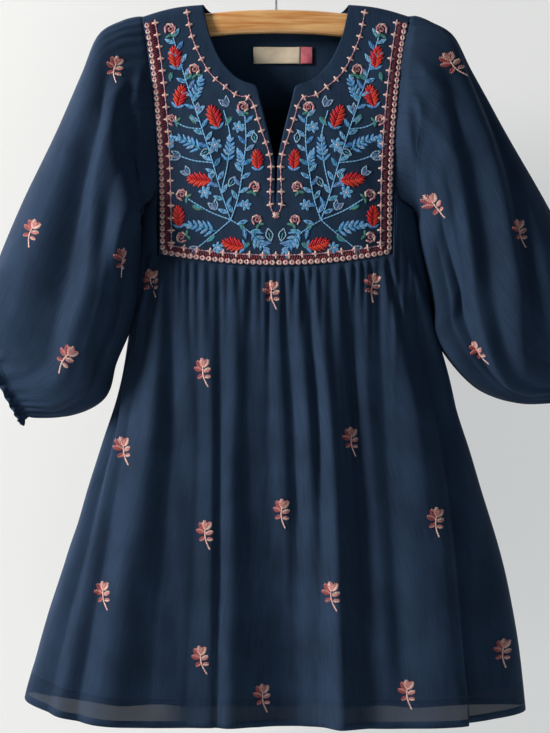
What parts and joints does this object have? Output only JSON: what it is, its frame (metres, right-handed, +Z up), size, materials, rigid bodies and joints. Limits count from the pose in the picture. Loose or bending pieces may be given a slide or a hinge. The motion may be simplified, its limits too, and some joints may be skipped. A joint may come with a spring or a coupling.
{
  "type": "peasant dress on a hanger",
  "caption": "Child's navy peasant dress with an embroidered bib yoke, gathered skirt and full elasticated sleeves, hanging on an arched wooden hanger with a wire hook.",
  "frame": {"origin": "the seat inside the top of the hook, where the wire rests on a rail", "axes": "+Z up along the hook's stem, the front faces -Y, +X is the wearer's left"},
  "size_m": [0.5963, 0.1742, 0.7377],
  "materials": {
    "embroidered_yoke": "navy voile with red, blue and pink thread embroidery",
    "navy_voile": "thin matt navy voile with small pink thread sprigs",
    "lining_cloth": "plain matt navy lining",
    "label_tape": "bare cream woven tape",
    "tab_tape": "bare red woven tape",
    "hanger_wood": "pale varnished wood",
    "hook_wire": "bright plated wire"
  },
  "bodies": {
    "root": {"front_yoke": "embroidered_yoke", "back_yoke": "navy_voile", "front_skirt": "navy_voile", "back_skirt": "navy_voile", "sleeve_right": "navy_voile", "sleeve_left": "navy_voile", "lining_front": "lining_cloth", "lining_back": "lining_cloth", "neck_label": "label_tape", "label_tab": "tab_tape", "hanger_bar": "hanger_wood", "hanger_hook": "hook_wire"}
  },
  "joints": []
}
